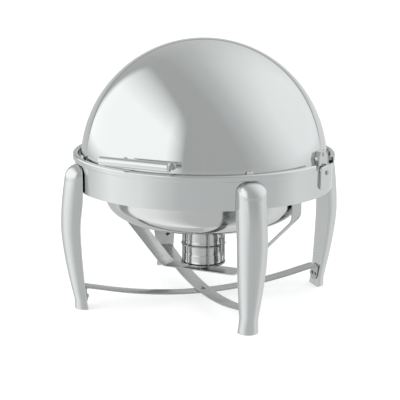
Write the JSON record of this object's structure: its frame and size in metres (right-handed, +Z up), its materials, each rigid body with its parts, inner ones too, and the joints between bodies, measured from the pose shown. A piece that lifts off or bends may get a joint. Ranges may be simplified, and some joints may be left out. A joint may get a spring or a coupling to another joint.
{
  "type": "round roll-top chafing dish",
  "caption": "Round roll-top chafing dish: hemispherical cover with a tube handle, deep ring on bowed legs, nested pans and a strap that carries a fuel can.",
  "frame": {"origin": "on the table under the middle of the object's box; the ring's vertical axis is at y = 0.016 m", "axes": "+Z up, the cover's handle towards -Y, the cover's hinge axis along X"},
  "size_m": [0.4796, 0.5119, 0.476],
  "materials": {
    "mirror_steel": "mirror-polished stainless steel",
    "polished_steel": "polished stainless steel",
    "satin_steel": "satin stainless steel strip",
    "fastener_steel": "plain stainless steel",
    "tin_plate": "bright tin plate",
    "white_nylon": "moulded nylon",
    "black_plastic": "moulded heat-proof plastic"
  },
  "bodies": {
    "frame": {"ring_band": "mirror_steel", "leg_front_right": "mirror_steel", "leg_rear_right": "mirror_steel", "leg_rear_left": "mirror_steel", "leg_front_left": "mirror_steel", "leg_screw_front_right_1": "fastener_steel", "leg_screw_front_right_2": "fastener_steel", "leg_screw_rear_right_1": "fastener_steel", "leg_screw_rear_right_2": "fastener_steel", "leg_screw_rear_left_1": "fastener_steel", "leg_screw_rear_left_2": "fastener_steel", "leg_screw_front_left_1": "fastener_steel", "leg_screw_front_left_2": "fastener_steel", "brace_lower": "satin_steel", "brace_upper": "satin_steel", "brace_rivet": "fastener_steel", "brace_screw_front_right_right": "fastener_steel", "brace_screw_front_right_left": "fastener_steel", "brace_screw_rear_right_right": "fastener_steel", "brace_screw_rear_right_left": "fastener_steel", "brace_screw_rear_left_right": "fastener_steel", "brace_screw_rear_left_left": "fastener_steel", "brace_screw_front_left_right": "fastener_steel", "brace_screw_front_left_left": "fastener_steel", "cover_rest_front_right": "white_nylon", "cover_rest_rear_right": "white_nylon", "cover_rest_rear_left": "white_nylon", "cover_rest_front_left": "white_nylon", "pivot_plate_right": "mirror_steel", "pivot_plate_left": "mirror_steel", "pivot_pin_right": "fastener_steel", "pivot_pin_left": "fastener_steel", "pivot_bush_right": "white_nylon", "pivot_bush_left": "white_nylon", "pivot_nut_right": "fastener_steel", "pivot_nut_left": "fastener_steel", "pan_support_ring": "satin_steel", "fuel_strap": "satin_steel", "holder_spacer": "satin_steel", "holder_rivet": "fastener_steel", "fuel_holder": "fastener_steel", "fuel_can": "tin_plate"},
    "cover": {"dome_cover": "mirror_steel", "cover_hub_right": "polished_steel", "cover_hub_left": "polished_steel", "hub_rivet_right": "fastener_steel", "hub_rivet_left": "fastener_steel", "handle_bar": "mirror_steel", "handle_post_right": "polished_steel", "handle_post_left": "polished_steel", "handle_screw_right": "fastener_steel", "handle_screw_left": "fastener_steel"},
    "water_pan": {"water_pan": "mirror_steel"},
    "food_pan": {"food_pan": "polished_steel"},
    "snuffer": {"snuffer_lid": "polished_steel", "snuffer_wire": "fastener_steel", "snuffer_grip": "black_plastic"}
  },
  "joints": [
    {"name": "cover_roll", "type": "hinge", "parent": "frame", "child": "cover", "pos_m": [0, 0.016, 0.254], "axis": [-1, 0, 0], "range_deg": [0, 160]},
    {"name": "water_pan_lift", "type": "slide", "parent": "frame", "child": "water_pan", "axis": [0, 0, 1], "range_m": [0, 0.022]},
    {"name": "food_pan_lift", "type": "slide", "parent": "water_pan", "child": "food_pan", "axis": [0, 0, 1], "range_m": [0, 0.022]},
    {"name": "snuffer_swing", "type": "hinge", "parent": "frame", "child": "snuffer", "pos_m": [0.04447, 0.0024, 0.1], "axis": [0, 0, -1], "range_deg": [0, 120]}
  ]
}
